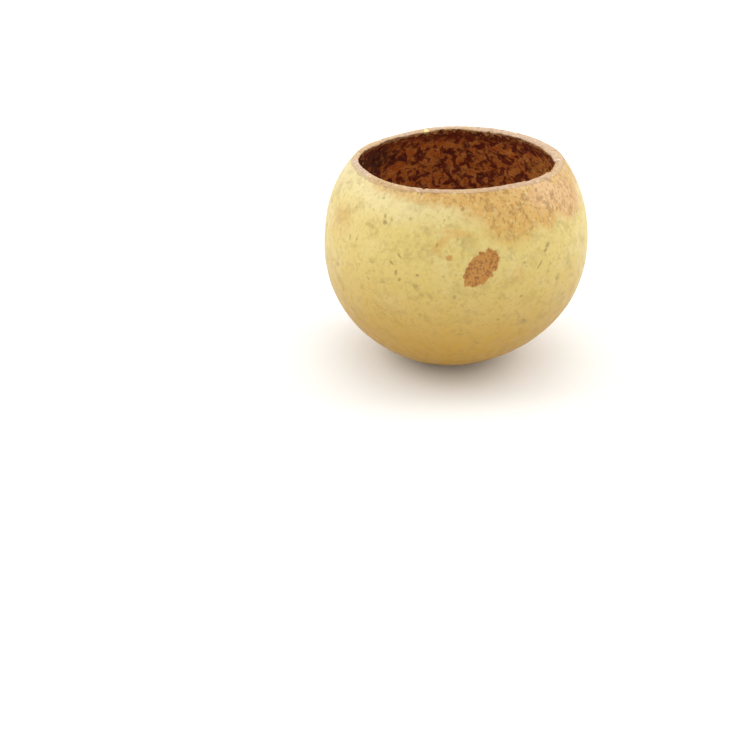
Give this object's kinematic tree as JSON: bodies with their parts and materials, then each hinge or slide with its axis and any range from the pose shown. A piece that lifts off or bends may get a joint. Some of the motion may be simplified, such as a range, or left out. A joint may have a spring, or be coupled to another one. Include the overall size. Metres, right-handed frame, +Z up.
{
  "type": "dried fruit shell cup",
  "caption": "Small round cup: a dried woody fruit shell sawn open across its shoulder, hollow inside, with a worn rim and a stem scar under its base.",
  "frame": {"origin": "on the surface that the cup stands on, under the middle of its bounding box", "axes": "+Z up through the mouth, the shortest extent; +X to the right and +Y away from the viewer when the side with the oval brown mark is in front"},
  "size_m": [0.0722, 0.0718, 0.0579],
  "materials": {
    "shell": "dry, satin, straw yellow woody rind with brown stains; red-brown inside"
  },
  "bodies": {
    "root": {"shell": "shell"}
  },
  "joints": []
}
